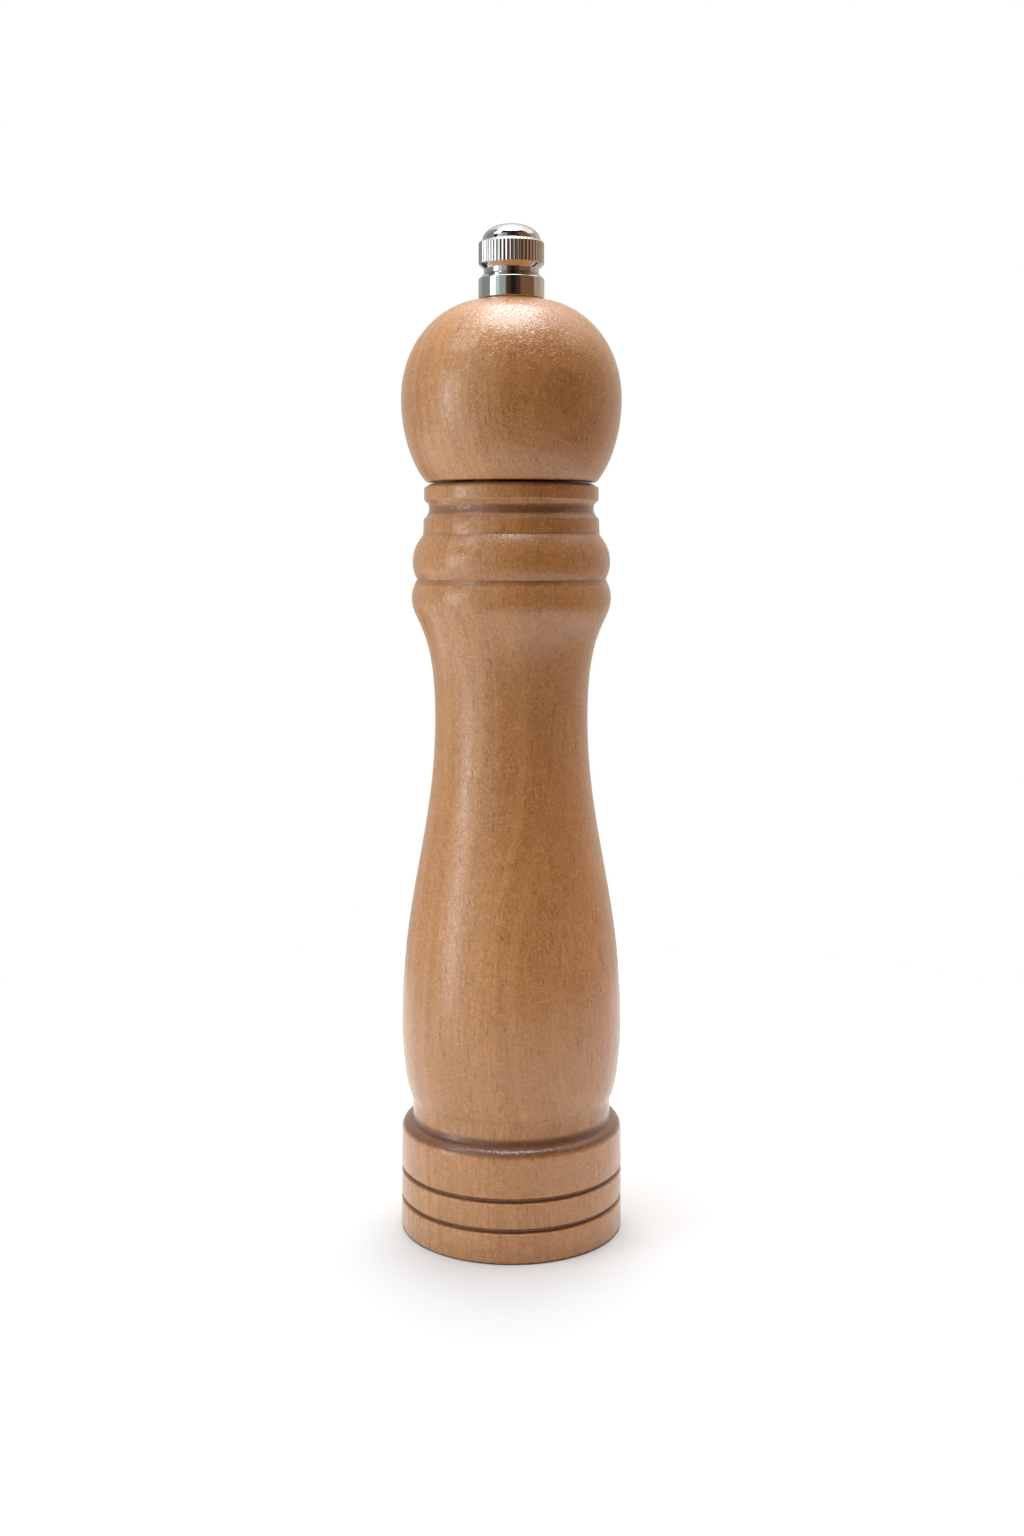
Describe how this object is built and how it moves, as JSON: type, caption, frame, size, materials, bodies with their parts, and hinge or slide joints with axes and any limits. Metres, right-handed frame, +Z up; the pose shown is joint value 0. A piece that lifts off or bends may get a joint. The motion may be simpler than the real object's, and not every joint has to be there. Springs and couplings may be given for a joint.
{
  "type": "pepper mill",
  "caption": "Turned wooden pepper mill with a ball head, a threaded drive shaft and a steel burr grinder set by a knurled knob.",
  "frame": {"origin": "centre of the underside of the base, on the drive shaft's axis", "axes": "+Z up the drive shaft towards the knob, +X along the retaining bar under the grinder"},
  "size_m": [0.0546, 0.0546, 0.247],
  "materials": {
    "wood": "satin lacquer over warm brown hardwood",
    "chrome": "polished",
    "steel": "plain drawn steel",
    "burr_steel": "hardened, dark",
    "zinc_screw": "bright zinc",
    "nylon": "black moulded"
  },
  "bodies": {
    "body": {"mill_body": "wood", "grinder_housing": "nylon", "grinding_stator": "burr_steel", "retaining_bar": "steel", "bar_screw_1": "zinc_screw", "bar_screw_2": "zinc_screw", "housing_screw_1": "zinc_screw", "housing_screw_2": "zinc_screw"},
    "bush": {"guide_bush": "nylon", "grinder_spring": "steel"},
    "head": {"mill_head": "wood", "drive_plate": "steel", "drive_plate_screw_1": "zinc_screw", "drive_plate_screw_2": "zinc_screw"},
    "spindle": {"drive_shaft": "steel", "grinding_rotor": "burr_steel", "spring_washer": "steel", "rotor_nut": "zinc_screw"},
    "collar": {"knob_collar": "chrome"},
    "knob": {"grind_knob": "chrome"}
  },
  "joints": [
    {"name": "head_turn", "type": "hinge", "parent": "body", "child": "bush", "pos_m": [0, 0, 0.038], "axis": [0, 0, 1], "continuous": true},
    {"name": "head_lift", "type": "slide", "parent": "bush", "child": "head", "axis": [0, 0, 1], "range_m": [0, 0.08]},
    {"name": "spindle_lift", "type": "slide", "parent": "bush", "child": "spindle", "axis": [0, 0, 1], "range_m": [-0.0008, 0.0008], "deforming": ["grinder_spring"]},
    {"name": "knob_lift", "type": "slide", "parent": "head", "child": "collar", "axis": [0, 0, 1], "range_m": [0, 0.014]},
    {"name": "knob_turn", "type": "hinge", "parent": "collar", "child": "knob", "pos_m": [0, 0, 0.238], "axis": [0, 0, 1], "range_deg": [-360, 360]}
  ],
  "couplings": [
    {"joint": "knob_turn", "follows": "spindle_lift", "rad_per_m": -7853}
  ]
}
